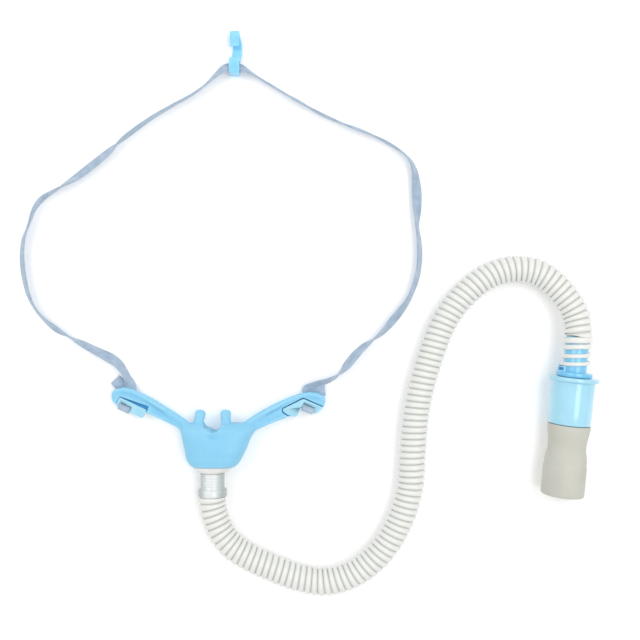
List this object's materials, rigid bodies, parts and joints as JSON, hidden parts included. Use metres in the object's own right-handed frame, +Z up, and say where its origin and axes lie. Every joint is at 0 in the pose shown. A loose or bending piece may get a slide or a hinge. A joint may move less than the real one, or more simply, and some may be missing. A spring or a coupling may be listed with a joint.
{
  "type": "nasal oxygen cannula",
  "caption": "Soft nasal piece with two prongs on a loose head strap with a tube clip, and a corrugated hose to a swivel connector with a rubber cuff.",
  "frame": {"origin": "on the floor below the middle of the strap loop and nasal piece, the hose and connector left out", "axes": "+Z up from the floor, +Y from the hose adapter through the prongs towards the tube clip, +X towards the connector"},
  "size_m": [0.3311, 0.3228, 0.0281],
  "materials": {
    "silicone": "satin translucent silicone",
    "tab_plastic": "gloss",
    "strap_knit": "knitted elastic band",
    "clip_plastic": "gloss",
    "white_plastic": "gloss",
    "clear_plastic": "clear, slightly frosted",
    "hose_plastic": "translucent white film with a spiral bead",
    "blue_plastic": "gloss",
    "grey_rubber": "matte"
  },
  "bodies": {
    "cannula": {"cannula_body": "silicone", "buckle_left": "tab_plastic", "buckle_right": "tab_plastic", "head_strap": "strap_knit", "tube_clip": "clip_plastic", "adapter_ring": "white_plastic", "clear_adapter": "clear_plastic", "hose": "hose_plastic", "hose_sleeve": "blue_plastic"},
    "connector": {"connector_barrel": "blue_plastic", "grey_cuff": "grey_rubber"}
  },
  "joints": [
    {"name": "connector_swivel", "type": "hinge", "parent": "cannula", "child": "connector", "pos_m": [0.2005, -0.0652, 0.01415], "axis": [-0.0923, -0.9953, -0.0305], "continuous": true}
  ]
}
